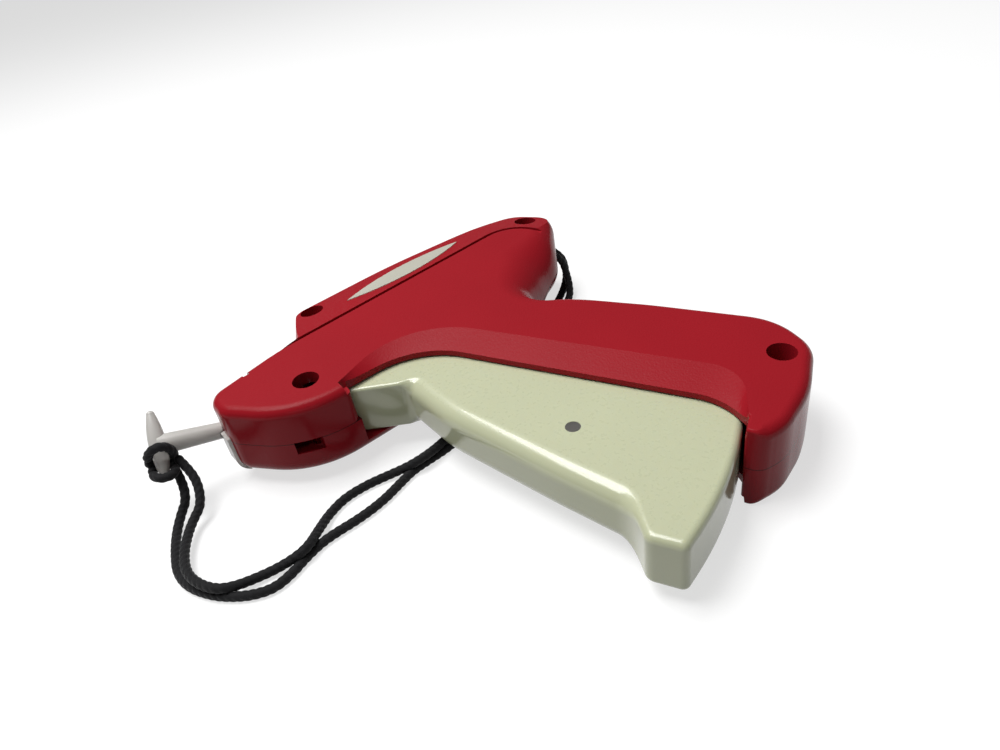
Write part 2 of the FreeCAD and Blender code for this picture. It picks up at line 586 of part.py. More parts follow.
def push_rod():
    tip = polar(ROCKER_PIVOT, ARM_LENGTH, 90 - ROCKER_TURN / 2)
    end = tip[0] - LEG_FRONT + ROD_SEAT
    return Part.makeCylinder(ROD_R, end - ROD_TIP, V(ROD_TIP, BARREL_Y, MID), V(1, 0, 0))


def needle():
    tube = Part.makeCylinder(NEEDLE_R, NEEDLE_ROOT - NEEDLE_TIP, V(NEEDLE_TIP, BARREL_Y, MID), V(1, 0, 0))
    bore = Part.makeCylinder(NEEDLE_BORE, NEEDLE_ROOT - NEEDLE_TIP + 2, V(NEEDLE_TIP - 1, BARREL_Y, MID), V(1, 0, 0))
    slot = block((NEEDLE_TIP - 1, NEEDLE_ROOT - 1.5),
                 (BARREL_Y - NEEDLE_SLOT / 2, BARREL_Y + NEEDLE_SLOT / 2), (MID, MID + 2))
    wedge = Part.makeBox(12, 6, 6, V(NEEDLE_TIP, BARREL_Y - 3, MID))
    wedge.rotate(V(NEEDLE_TIP, BARREL_Y, MID - NEEDLE_R), V(0, 1, 0), -28)
    return tube.cut(bore).cut(slot).cut(wedge)


def needle_plate(low):
    """Plate on the front wall that bends under the nose with its rounding."""
    centre = V(PLATE_FACE + LOW_EDGE_R, PLATE_Y[0], LOW_EDGE_R)
    width = PLATE_Y[1] - PLATE_Y[0]
    r = LOW_EDGE_R + PLATE_T
    bend = Part.makeCylinder(r, width, centre, V(0, 1, 0))
    bend = bend.common(block((centre.x - r, centre.x - r * math.cos(math.radians(PLATE_WRAP))),
                             PLATE_Y, (LOW_EDGE_R - r, LOW_EDGE_R)))
    body = bend.fuse(block((PLATE_FACE - PLATE_T, PLATE_FACE + 0.2), PLATE_Y, (LOW_EDGE_R, PLATE_TOP)))
    return body.cut(low).cut(slab(CASE, MID, CASE_T))


def needle_holder(low):
    body = block(HOLDER_X, HOLDER_Y, HOLDER_Z)
    body = body.fuse(block((PLATE_FACE, HOLDER_X[0] + 0.1), NECK_Y, NECK_Z))
    body = body.fuse(needle_plate(low)).removeSplitter()
    hole = Part.makeCylinder(NEEDLE_R, HOLDER_X[1] - HOLDER_X[0] + 2, V(HOLDER_X[0] - 1, BARREL_Y, MID), V(1, 0, 0))
    return body.cut(hole)


def feed_wheel():
    """Star wheel across the clip channel, with a ratchet at its rear end."""
    points = []
    for i in range(2 * WHEEL_TEETH + 1):
        r = WHEEL_R if i % 2 else WHEEL_ROOT_R
        a = math.pi * i / WHEEL_TEETH
        points.append(V(CHANNEL_X[0] + GAP, WHEEL_Y - r * math.cos(a), WHEEL_Z + r * math.sin(a)))
    length = CHANNEL_X[1] + GAP + RATCHET_T - CHANNEL_X[0] - GAP
    body = Part.Face(Part.makePolygon(points)).extrude(V(length, 0, 0))
    return body.cut(Part.makeCylinder(SHAFT_R + RUN, length + 2, V(CHANNEL_X[0] - 1, WHEEL_Y, WHEEL_Z), V(1, 0, 0)))


def feed_shaft():
    return Part.makeCylinder(SHAFT_R, SHAFT_X[1] - SHAFT_X[0], V(SHAFT_X[0], WHEEL_Y, WHEEL_Z), V(1, 0, 0))


def detent_spring():
    """Steel leaf on its foot in the lower half, drawn lifted to the ratchet's tooth circle."""
    tip = WHEEL_Y - WHEEL_R - 2 * RUN
    return block((CHANNEL_X[1] + GAP, CHANNEL_X[1] + GAP + RATCHET_T), (LEAF_FOOT_Y[0], tip),
                 (WHEEL_Z - LEAF_T / 2, WHEEL_Z + LEAF_T / 2))


def knife():
    x0 = HOLDER_X[1]
    return block((x0, x0 + KNIFE_T), KNIFE_Y, KNIFE_Z)


def return_spring():
    """Torsion spring round the rocker's post: coils and two legs."""
    z0, z1 = HUB_Z[1] + GAP, CASE_T - SIDE_WALL - GAP
    r = SPRING_POST_R + RUN * 4
    coil = cylinder(ROCKER_PIVOT[0], ROCKER_PIVOT[1], z0, z1, r + SPRING_WIRE)
    coil = coil.cut(cylinder(ROCKER_PIVOT[0], ROCKER_PIVOT[1], z0 - 1, z1 + 1, r))
    x, y = ROCKER_PIVOT
    rear = block((x + r + SPRING_WIRE / 2, x + 16), (y - SPRING_WIRE / 2, y + SPRING_WIRE / 2),
                 (z1 - SPRING_WIRE, z1))
    front = block((x - 16, x - r - SPRING_WIRE / 2), (y - SPRING_WIRE / 2, y + SPRING_WIRE / 2),
                  (z0, z0 + SPRING_WIRE))
    return coil.fuse([rear, front]).removeSplitter()


def strip_frame():
    """Unit vectors of the strip's surface: along the groove, up the slope, outwards."""
    along = unit(GROOVE_A, GROOVE_TURN)
    up = V(-along.y, along.x, 0)
    a = math.radians(STRIP_ANGLE)
    slope = up * math.cos(a) - V(0, 0, 1) * math.sin(a)
    return along, slope, along.cross(slope)


def strip_height(x, y):
    along = unit(GROOVE_A, GROOVE_TURN)
    d = (x - GROOVE_A[0]) * -along.y + (y - GROOVE_A[1]) * along.x
    return CASE_T - d * math.tan(math.radians(STRIP_ANGLE))


def label(grow=0.0, depth=0.0):
    """Pointed lens on the strip, grown for the recess that holds it."""
    along, slope, out = strip_frame()
    a = V(LABEL_A[0], LABEL_A[1], strip_height(*LABEL_A))
    b = V(LABEL_B[0], LABEL_B[1], strip_height(*LABEL_B))
    span = (b - a).normalize()
    side = out.cross(span)
    low = out * (LABEL_PROUD - LABEL_T - depth)
    a, b = a + low - span * grow, b + low + span * grow
    mid = (a + b) * 0.5
    w = LABEL_W / 2 + grow
    wire = Part.Wire([Part.Arc(a, mid + side * w, b).toShape(), Part.Arc(b, mid - side * w, a).toShape()])
    return Part.Face(wire).extrude(out * (LABEL_T + depth))


def pins():
    """Steel pins of the trigger, the rocker and the lanyard, from half to half."""
    low, high = CASE_T - PIN_END, PIN_END
    trigger_pin = cylinder(TRIGGER_PIVOT[0], TRIGGER_PIVOT[1], low, high, TRIGGER_PIN_R)
    rocker_pin = cylinder(ROCKER_PIVOT[0], ROCKER_PIVOT[1], low, high, ROCKER_PIN_R)
    eye_pin = cylinder(EYE[0], EYE[1], low, high, EYE_PIN_R)
    return trigger_pin, rocker_pin, eye_pin


def link_pins():
    pin = polar(ROCKER_PIVOT, CRANK_R, CRANK_ANGLE)
    reach = TRIGGER_T / 2 - 0.1
    in_trigger = cylinder(LINK_PIN[0], LINK_PIN[1], MID - reach, MID + reach, LINK_PIN_R)
    reach = ROCKER_T / 2 + GAP + LINK_T
    in_rocker = cylinder(pin[0], pin[1], MID - reach, MID + reach, CRANK_PIN_R)
    return in_trigger, in_rocker


def bar_frame():
    """Middle of the cap's bar, with unit vectors along it, along the cap and across."""
    axis = V(*CAP_AXIS).normalize()
    middle = V(*CAP_MOUTH) + axis * CAP_LENGTH
    along = V(*BAR_DIR)
    along = (along - axis * along.dot(axis)).normalize()
    return middle, along, axis


def cap_bar():
    """Cross bar that tapers from its middle to rounded ends."""
    middle, along, axis = bar_frame()
    end = BAR_HALF - BAR_END_R
    tip = BAR_END_R / math.sqrt(2)
    wire = Part.Wire([
        Part.LineSegment(V(-BAR_HALF, 0, 0), V(BAR_HALF, 0, 0)).toShape(),
        Part.Arc(V(BAR_HALF, 0, 0), V(end + tip, 0, tip), V(end, 0, BAR_END_R)).toShape(),
        Part.Arc(V(end, 0, BAR_END_R), V(0, 0, BAR_R), V(-end, 0, BAR_END_R)).toShape(),
        Part.Arc(V(-end, 0, BAR_END_R), V(-end - tip, 0, tip), V(-BAR_HALF, 0, 0)).toShape(),
    ])
    bar = Part.Face(wire).revolve(V(0, 0, 0), V(1, 0, 0), 360)
    turn = FreeCAD.Rotation(along, along.cross(axis), axis, "XYZ")
    bar.Placement = FreeCAD.Placement(middle, turn)
    return bar


def needle_cap():
    middle, along, axis = bar_frame()
    start = V(*CAP_MOUTH) - axis * CAP_REACH
    sleeve = Part.makeCone(CAP_R_MOUTH, CAP_R_BAR, CAP_LENGTH + CAP_REACH, start, axis)
    bore = Part.makeCylinder(CAP_BORE_R, CAP_BORE_DEPTH + CAP_REACH + 2, start - axis * 2, axis)
    nose = slab(CASE, 0, CASE_T).translated(V(-GAP, 0, 0))
    plate = block((PLATE_FACE - PLATE_T - GAP, CASE_T), (-CASE_T, PLATE_Y[1] + GAP), (0, PLATE_TOP + GAP))
    body = sleeve.fuse(cap_bar()).cut(bore).cut(nose).cut(plate)
    return max(body.Solids, key=lambda s: s.Volume)


def lanyard_hitch():
    """Two turns of cord round the lower arm of the cap's bar."""
    middle, along, axis = bar_frame()
    turns = [Part.makeTorus(HITCH_R, CORD_R, middle + along * at, along) for at in HITCH_AT]
    solids = turns[0].fuse(turns[1]).cut(needle_cap()).Solids
    return max(solids, key=lambda s: s.Volume)


def eye_loop():
    return Part.makeTorus(EYE_PIN_R + CORD_R, CORD_R, V(EYE[0], EYE[1], EYE_Z)).cut(pins()[2])


def route(points):
    """Wire of straight runs and tangent arcs, its length and its least radius."""
    pts = [V(*p) for p in points]
    takes = [0.0]
    radii = []
    for before, here, after in zip(pts, pts[1:], pts[2:]):
        u, w = (before - here), (after - here)
        run = 0.45 * min(u.Length, w.Length)
        takes.append(run)
        radii.append(run * math.tan(u.getAngle(w) / 2))
    takes.append(0.0)
    edges = []
    start = pts[0]
    for i in range(1, len(pts) - 1):
        u = (pts[i - 1] - pts[i]).normalize()
        w = (pts[i + 1] - pts[i]).normalize()
        a, b = pts[i] + u * takes[i], pts[i] + w * takes[i]
        r = radii[i - 1]
        middle = pts[i] + (u + w).normalize() * (math.hypot(r, takes[i]) - r)
        edges.append(Part.LineSegment(start, a).toShape())
        edges.append(Part.Arc(a, middle, b).toShape())
        start = b
    edges.append(Part.LineSegment(start, pts[-1]).toShape())
    wire = Part.Wire(edges)
    return wire, wire.Length, min(radii)


def strand(points):
    wire, length, least = route(points)
    start = V(*points[0])
    circle = Part.Circle(start, V(*points[1]) - start, CORD_R)
    tube = wire.makePipeShell([Part.Wire(circle.toShape())], True, True)
    section = math.pi * CORD_R ** 2
    print("strand", round(length, 1), "mm, least radius", round(least, 1),
          "volume ratio", round(tube.Volume / (section * length), 4))
    return tube, wire


def lay(shape, lift):
    """Tip a shape about X onto the lanyard, then lift it onto the floor."""
    turned = shape.copy()
    turned.rotate(V(0, 0, 0), V(1, 0, 0), LAY_ANGLE)
    turned.translate(V(0, 0, lift))
    return turned


def grown_hitch():
    """The hitch with the clearance that parts it from the strands."""
    middle, along, axis = bar_frame()
    turns = [Part.makeTorus(HITCH_R, CORD_R + GAP, middle + along * at, along) for at in HITCH_AT]
    return turns[0].fuse(turns[1])


def build():
    trigger_pin, rocker_pin, eye_pin = pins()
    trigger_link_pin, rocker_link_pin = link_pins()
    gap = ROCKER_T / 2 + GAP
    low = rounded_slab(CASE_LOW, LOW_EDGE_R, 45.5).cut(band_cutter(BAND_RIM_LOW, BAND_FACE_LOW))
    nodes = {
        "lower_housing": lower_housing(low),
        "upper_housing": upper_housing(),
        "housing_screws": screws(),
        "trigger": trigger(),
        "trigger_pin": trigger_pin,
        "trigger_link_pin": trigger_link_pin,
        "drive_link_lower": drive_link(MID - gap - LINK_T),
        "drive_link_upper": drive_link(MID + gap),
        "rocker": rocker(),
        "rocker_pin": rocker_pin,
        "rocker_link_pin": rocker_link_pin,
        "slide": slide(),
        "push_rod": push_rod(),
        "return_spring": return_spring(),
        "needle_holder": needle_holder(flip(low)),
        "needle": needle(),
        "feed_wheel": feed_wheel(),
        "feed_shaft": feed_shaft(),
        "detent_spring": detent_spring(),
        "clip_knife": knife(),
        "label_plate": label(),
        "needle_cap": needle_cap(),
        "lanyard_hitch": lanyard_hitch(),
        "lanyard_pin": eye_pin,
        "lanyard_loop": eye_loop(),
    }
    lift = -lay(nodes["lower_housing"], 0).optimalBoundingBox().ZMin
    nodes = {name: lay(shape, lift) for name, shape in nodes.items()}
    keep_off = lay(grown_hitch(), lift)
    strands, wires = [], []
    for name, points in (("lanyard_strand_a", STRAND_A), ("lanyard_strand_b", STRAND_B)):
        tube, wire = strand(points)
        nodes[name] = tube.cut(keep_off).cut(nodes["lanyard_loop"])
        strands.append(nodes[name])
        wires.append(wire)
    print("gap between the strands", round(wires[0].distToShape(wires[1])[0] - 2 * CORD_R, 2))
    hard = Part.makeCompound([s for n, s in nodes.items() if "lanyard" not in n])
    box = hard.optimalBoundingBox()
    centre = V(-(box.XMin + box.XMax) / 2, -(box.YMin + box.YMax) / 2, 0)
    for shape in nodes.values():
        shape.translate(centre)
    return nodes, centre, lift


def main():
    nodes, centre, lift = build()
    os.makedirs("parts", exist_ok=True)
    for name, shape in nodes.items():
        shape.exportStep("parts/" + name + ".step")
        print(name, len(shape.Solids), shape.isValid(), round(shape.Volume, 1))
    places = {
        "trigger pivot": TRIGGER_PIVOT + (MID,),
        "link pin": LINK_PIN + (MID,),
        "rocker pivot": ROCKER_PIVOT + (MID,),
        "slide": (70, BARREL_Y, MID),
        "wheel": (CHANNEL_X[0], WHEEL_Y, WHEEL_Z),
        "cap": CAP_MOUTH,
        "upper face": (100, -10, CASE_T),
        "channel": ((CHANNEL_X[0] + CHANNEL_X[1]) / 2, 0, (CHANNEL_Z[0] + CHANNEL_Z[1]) / 2),
    }
    turn = FreeCAD.Rotation(V(1, 0, 0), LAY_ANGLE)
    for name, place in places.items():
        print(name, turn.multVec(V(*place)) + V(centre.x, centre.y, lift))
    print("centring", centre, "lift", round(lift, 3))


main()
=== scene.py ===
import json
import math

import bpy
import numpy as np
from mathutils import Matrix, Vector

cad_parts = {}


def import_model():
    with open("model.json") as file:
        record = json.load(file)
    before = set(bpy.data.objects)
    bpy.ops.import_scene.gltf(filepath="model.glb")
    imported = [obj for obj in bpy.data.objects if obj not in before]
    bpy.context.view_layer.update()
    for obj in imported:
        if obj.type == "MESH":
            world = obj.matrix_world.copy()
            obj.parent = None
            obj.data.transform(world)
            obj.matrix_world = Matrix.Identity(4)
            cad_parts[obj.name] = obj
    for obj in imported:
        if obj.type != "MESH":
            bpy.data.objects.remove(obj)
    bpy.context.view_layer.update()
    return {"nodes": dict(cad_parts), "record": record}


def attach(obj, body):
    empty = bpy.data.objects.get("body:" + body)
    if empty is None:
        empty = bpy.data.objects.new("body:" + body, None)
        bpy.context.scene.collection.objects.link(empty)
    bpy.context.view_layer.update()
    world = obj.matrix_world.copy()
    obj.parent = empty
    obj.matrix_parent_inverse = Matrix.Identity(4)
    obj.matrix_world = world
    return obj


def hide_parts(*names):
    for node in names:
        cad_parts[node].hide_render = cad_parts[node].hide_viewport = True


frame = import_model()
MM = 0.001

# The tool was drawn flat, then tipped about X onto its cord and centred: millimetres
TIP = math.asin(3.0 / 88.0)
SHIFT = np.array([-57.213, 48.267, 0.0])
LIFT = 4.07

# Camera of the photograph, placed beside the flat tool: millimetres, but CLIP_START in metres
LENS = 27.18
SENSOR = 36.0
EYE = (-32.8, -194.0, 149.0)
EYE_RIGHT = (0.7604, -0.6347, -0.1378)
EYE_UP = (0.4693, 0.3901, 0.7922)
CLIP_START = 0.01

# Lanyard's thickness, and its routes from the cap's bar to the casing's rear. They cross
# and touch as in the photo; the part under the casing can't be seen there. Millimetres:
# x and y of the flat tool, and the height above the floor.
CORD = 2.6
STRAND_A = [
    (-17.0, 3.9, 16.2), (-15.9, 0.8, 13.2), (-15.6, -3.6, 9.4), (-18.0, -8.4, 5.4),
    (-21.9, -10.4, 3.6), (-25.6, -15.3, 3.4), (-28.8, -21.5, 3.6), (-30.8, -28.7, 3.8),
    (-30.0, -35.2, 4.0), (-27.1, -41.1, 4.0), (-23.0, -42.9, 3.0), (-17.9, -43.1, 1.6),
    (-12.7, -44.3, 1.5), (-7.5, -46.1, 2.8), (-3.0, -46.7, 4.2), (2.2, -41.8, 2.6),
    (7.3, -37.4, 1.3), (13.9, -35.0, 1.3), (21.3, -35.3, 1.3), (27.5, -36.7, 1.3),
    (32.6, -39.8, 2.8), (37.6, -42.0, 4.4), (45.2, -40.2, 3.4), (58, -35.0, 1.8),
    (72, -30.2, 1.3), (87, -24.0, 1.3), (102, -16.9, 1.3), (116, -10.6, 1.3),
    (128.2, -4.4, 1.45), (134.9, -1.3, 4.7), (136.3, -0.3, 9.8), (135.3, 0.4, 15.6),
    (131.2, 3.9, 19.5)]
STRAND_B = [
    (-18.8, 1.9, 13.6), (-19.0, -1.2, 9.8), (-20.9, -4.4, 6.2), (-23.2, -4.8, 4.0),
    (-27.6, -9.5, 1.6), (-30.8, -17.6, 1.3), (-32.6, -24.5, 1.3), (-32.0, -31.8, 1.3),
    (-28.4, -39.4, 1.3), (-24.3, -44.4, 1.3), (-20.2, -47.8, 1.3), (-15.4, -49.8, 1.3),
    (-10.3, -49.0, 1.3), (-5.1, -46.9, 1.3), (0.6, -45.3, 1.3), (5.9, -45.1, 1.3),
    (12.9, -45.5, 1.3), (20.8, -44.8, 1.3), (27.4, -42.9, 1.3), (34.1, -40.9, 1.3),
    (40.4, -40.9, 1.3), (47.6, -40.9, 1.3), (59, -38.8, 1.3), (73.2, -33.1, 1.3),
    (88.3, -26.9, 1.3), (103.2, -19.8, 1.3), (117.2, -13.5, 1.3), (129.6, -8.2, 1.45),
    (133.2, -5.1, 4.3), (134.3, -2.5, 9.8), (133.3, -1.8, 15.6), (129.2, 1.7, 19.5)]
ROUTE_ORDER = 3
ROUTE_RESOLUTION = 24

# Laid cord: its plies, the dips between them as a share of its radius, the length of one
# turn, and the steps along and round it. END_ROUNDING of 1 would end it in a point.
PLIES = 3
PLY_DEPTH = 0.13
LAY_LENGTH = 6.0
ROPE_STEP = 0.28
ROPE_SIDES = 24
END_ROUNDING = 0.98

# Cap on the flat tool: middle of its mouth, direction and length of its sleeve up to the
# middle of its cross bar, and direction of the bar
CAP_MOUTH = (-4.1, 4.3, 12.9)
CAP_AXIS = (-0.9603, 0.1960, 0.1985)
CAP_LENGTH = 16.0
BAR_DIR = (0.273, 0.596, 0.755)

# Each turn of the hitch: its place down the bar, its half widths along the cap and across
# it, and its rise at the front, in millimetres
HITCH = ((-3.6, 3.5, 4.4, 2.6), (-7.6, 3.1, 3.3, -2.2))
HITCH_POINTS = 90

# Grain: how squarely a face points up or down where it starts and where it is full, and
# how far its noise moves the roughness
GRAIN_STARTS = 0.72
GRAIN_IS_FULL = 0.96
GRAIN_SPECK = 0.25

# Painted shade of the groove between the casing's halves, a dark line in the colour: its height
# on the flat tool, the distances from it at which it is darkest and at which it ends, all in
# millimetres, and its darkest shade
JOINT_HEIGHT = 12.5
JOINT_DARKEST = 0.08
JOINT_ENDS = 0.2
JOINT_SHADE = 0.25

# Yarn: stretch and size of the noise that makes its fibres, strength and depth of its bump
FIBRE_STRETCH = (9.0, 0.9, 1.0)
FIBRE_SIZE = 3.0
FIBRE_BUMP = (0.6, 0.00015)

# Finishes by the record's slots: name, colour, roughness, size and amount of the slow
# changes of tone, and other sockets of the shader
STEEL = (400.0, 0.15, {"Metallic": 1.0})
FINISHES = {
    "casing_red": ("casing_plastic", (0.27, 0.008, 0.014), 0.2, 25.0, 0.1, {
        "Specular IOR Level": 0.1}),
    "trigger_cream": ("trigger_plastic", (0.47, 0.49, 0.33), 0.28, 18.0, 0.05, {
        "Subsurface Weight": 0.08, "Subsurface Radius": (0.002, 0.0015, 0.0008),
        "Coat Weight": 0.3, "Coat Roughness": 0.06}),
    "screw_steel": ("screw_steel", (0.5, 0.49, 0.46), 0.35, *STEEL),
    "pin_steel": ("pin_steel", (0.62, 0.6, 0.56), 0.22, *STEEL),
    "link_steel": ("link_steel", (0.55, 0.55, 0.55), 0.35, *STEEL),
    "inner_plastic": ("inner_plastic", (0.72, 0.72, 0.7), 0.45, 60.0, 0.08, {}),
    "spring_steel": ("spring_steel", (0.65, 0.65, 0.66), 0.18, *STEEL),
    "clear_plastic": ("clear_plastic", (0.62, 0.6, 0.57), 0.3, 120.0, 0.08, {
        "Transmission Weight": 0.35, "IOR": 1.45,
        "Subsurface Weight": 0.3, "Subsurface Radius": (0.003, 0.003, 0.003)}),
    "label_silver": ("label_film", (0.6, 0.59, 0.5), 0.3, 60.0, 0.12, {"Metallic": 0.3}),
    "cord_black": ("cord_yarn", (0.005, 0.005, 0.006), 0.75, 500.0, 0.4, {
        "Specular IOR Level": 0.25, "Sheen Weight": 0.12, "Sheen Roughness": 0.4}),
}

# Grain of the mouldings, by slot: sockets of its group, strength and depth of its bump
GRAINS = {
    "casing_red": ({"Size": 1900.0, "Depth": 1.0, "Polish": 0.2, "Rough": 0.42}, 0.3, 0.00012),
    "trigger_cream": ({"Size": 900.0, "Depth": 0.5, "Polish": 0.16, "Rough": 0.3}, 0.08, 0.00008),
}

# Pale floor, whose glow is seen but lights nothing, and the world's light on the tool:
# the world itself is seen at full strength
FLOOR_REACH = 3.0
FLOOR_GREY = 0.36
FLOOR_ROUGHNESS = 0.9
FLOOR_GLOW = 0.66
WORLD_LIGHT = 0.12

# Area lights: name, place, aim, size and watts
LIGHTS = (
    ("overhead", (-0.15, 0.25, 0.9), (0, 0, 0), (0.7, 0.5), 12.5),
    ("front_fill", (-0.5, -0.8, 0.4), (0, 0, 0.02), (0.6, 0.4), 0.4),
)


# ---- places ----

def tipped(point):
    """A point or direction of the flat tool, turned onto the cord."""
    x, y, z = point
    return np.array([x, y * math.cos(TIP) - z * math.sin(TIP),
                     y * math.sin(TIP) + z * math.cos(TIP)])


def lay(point):
    """Place of a point of the flat tool on the floor, in metres."""
    return Vector((tipped(point) + (0.0, 0.0, LIFT) + SHIFT) * MM)


def lay_direction(direction):
    return Vector(tipped(direction))


def camera():
    data = bpy.data.cameras.new("photo_camera")
    data.lens = LENS
    data.sensor_width = SENSOR
    data.clip_start = CLIP_START
    cam = bpy.data.objects.new("photo_camera", data)
    bpy.context.collection.objects.link(cam)
    right = lay_direction(EYE_RIGHT).normalized()
    up = lay_direction(EYE_UP)
    up = (up - right * up.dot(right)).normalized()
    cam.matrix_world = Matrix((
        (*right, 0), (*up, 0), (*right.cross(up), 0), (*lay(EYE), 1))).transposed()
    bpy.context.scene.camera = cam


# ---- shapes ----

def new_piece(name, points, faces, material, uv=None, ends=()):
    """Smooth mesh object at the origin, from arrays of points in metres and faces.

    uv gives each point's place on the map, ends more faces that have no place on it.
    """
    mesh = bpy.data.meshes.new(name)
    mesh.from_pydata(points.reshape(-1, 3).tolist(), [], faces.tolist() + list(ends))
    mesh.polygons.foreach_set("use_smooth", np.ones(len(mesh.polygons), bool))
    mesh.materials.append(material)
    if uv is not None:
        corners = np.zeros((len(mesh.loops), 2))
        corners[:faces.size] = uv.reshape(-1, 2)[faces.ravel()]
        mesh.uv_layers.new(name="along").data.foreach_set("uv", corners.ravel())
    obj = bpy.data.objects.new(name, mesh)
    bpy.context.collection.objects.link(obj)
    return obj


def tube_faces(rings, sides):
    """Quads between rings of points, each ring closed."""
    i, j = np.meshgrid(np.arange(rings - 1), np.arange(sides), indexing="ij")
    k = (j + 1) % sides
    return np.stack([i * sides + j, i * sides + k, (i + 1) * sides + k,
                     (i + 1) * sides + j], -1).reshape(-1, 4)


def smooth_line(points):
    """Points of the smooth curve that a route's points steer, in metres."""
    data = bpy.data.curves.new("route", "CURVE")
    data.dimensions = "3D"
    data.resolution_u = ROUTE_RESOLUTION
    spline = data.splines.new("NURBS")
    spline.points.add(len(points) - 1)
    for knot, p in zip(spline.points, points):
        knot.co = (*p, 1.0)
    spline.order_u = ROUTE_ORDER
    spline.use_endpoint_u = True
    obj = bpy.data.objects.new("route", data)
    mesh = bpy.data.meshes.new_from_object(obj)
    line = np.zeros(len(mesh.vertices) * 3)
    mesh.vertices.foreach_get("co", line)
    bpy.data.objects.remove(obj)
    bpy.data.meshes.remove(mesh)
    return line.reshape(-1, 3)


def even_line(line, step):
    """The same line with points a steady step apart, and its distance at each."""
    run = np.concatenate([[0], np.cumsum(np.linalg.norm(np.diff(line, axis=0), axis=1))])
    at = np.linspace(0, run[-1], int(run[-1] / step))
    return np.stack([np.interp(at, run, line[:, k]) for k in range(3)], -1), at


def frames_along(line):
    """Two crosswise unit vectors at each point, turned as little as the line allows."""
    ahead = np.gradient(line, axis=0)
    ahead /= np.linalg.norm(ahead, axis=1)[:, None]
    first = np.cross(ahead[0], (0, 0, 1))
    sides = [first / np.linalg.norm(first)]
    for after in ahead[1:]:
        side = sides[-1] - after * np.dot(sides[-1], after)
        sides.append(side / np.linalg.norm(side))
    sides = np.array(sides)
    return sides, np.cross(ahead, sides)


def rope(name, line, material):
    """Laid cord: a circle whose radius dips between its plies, turned once per lay length."""
    radius = CORD * MM / 2
    line, at = even_line(line, ROPE_STEP * MM)
    side, up = frames_along(line)
    a = np.linspace(0, 2 * math.pi, ROPE_SIDES + 1)[:-1]
    turn = a[None, :] - (at / (LAY_LENGTH * MM) * 2 * math.pi)[:, None]
    lobe = np.abs(np.cos(turn * PLIES / 2))
    r = radius * (1 + PLY_DEPTH / 2 - PLY_DEPTH * (1 - lobe))
    from_end = np.minimum(1.0, np.minimum(at, at[-1] - at) / radius)
    r *= np.sqrt(1 - (1 - from_end) ** 2 * END_ROUNDING)[:, None]
    ring = (side[:, None, :] * np.cos(a)[None, :, None]
            + up[:, None, :] * np.sin(a)[None, :, None])
    points = line[:, None, :] + ring * r[..., None]
    uv = np.stack([np.broadcast_to(turn * PLIES / (2 * math.pi), r.shape),
                   np.broadcast_to(at[:, None] / MM, r.shape)], -1)
    first = np.arange(ROPE_SIDES)
    last = (len(line) - 1) * ROPE_SIDES + first
    return new_piece(name, points, tube_faces(len(line), ROPE_SIDES), material, uv,
                     [first[::-1].tolist(), last.tolist()])


# ---- finishes ----

def group(name, inputs, outputs):
    """Empty shader group whose inputs and outputs are given as names with kinds."""
    made = bpy.data.node_groups.new(name, "ShaderNodeTree")
    for in_out, sockets in (("INPUT", inputs), ("OUTPUT", outputs)):
        for label, kind in sockets.items():
            made.interface.new_socket(label, in_out=in_out, socket_type="NodeSocket" + kind)
    return made, made.nodes.new("NodeGroupInput"), made.nodes.new("NodeGroupOutput")


def place_group(tree, made, **values):
    node = tree.nodes.new("ShaderNodeGroup")
    node.node_tree = made
    for label, value in values.items():
        node.inputs[label].default_value = value
    return node


def wire(tree, source, target):
    tree.links.new(source, target)


def math_node(tree, operation, *values):
    """Result of a sum of numbers or other nodes' outputs."""
    node = tree.nodes.new("ShaderNodeMath")
    node.operation = operation
    for socket, value in zip(node.inputs, values):
        if isinstance(value, (int, float)):
            socket.default_value = value
        else:
            wire(tree, value, socket)
    return node.outputs[0]


def ramp(tree, value, start, end, to_start=0.0, kind="LINEAR"):
    """Changes from to_start to 1 while value goes from start to end."""
    node = tree.nodes.new("ShaderNodeMapRange")
    node.interpolation_type = kind
    node.inputs["From Min"].default_value = start
    node.inputs["From Max"].default_value = end
    node.inputs["To Min"].default_value = to_start
    wire(tree, value, node.inputs["Value"])
    return node.outputs["Result"]


def noise(tree, vector, detail):
    node = tree.nodes.new("ShaderNodeTexNoise")
    node.inputs["Detail"].default_value = detail
    wire(tree, vector, node.inputs["Vector"])
    return node


def scaled_value(tree, color, value):
    """The colour with its brightness multiplied by value."""
    node = tree.nodes.new("ShaderNodeHueSaturation")
    wire(tree, color, node.inputs["Color"])
    wire(tree, value, node.inputs["Value"])
    return node.outputs["Color"]


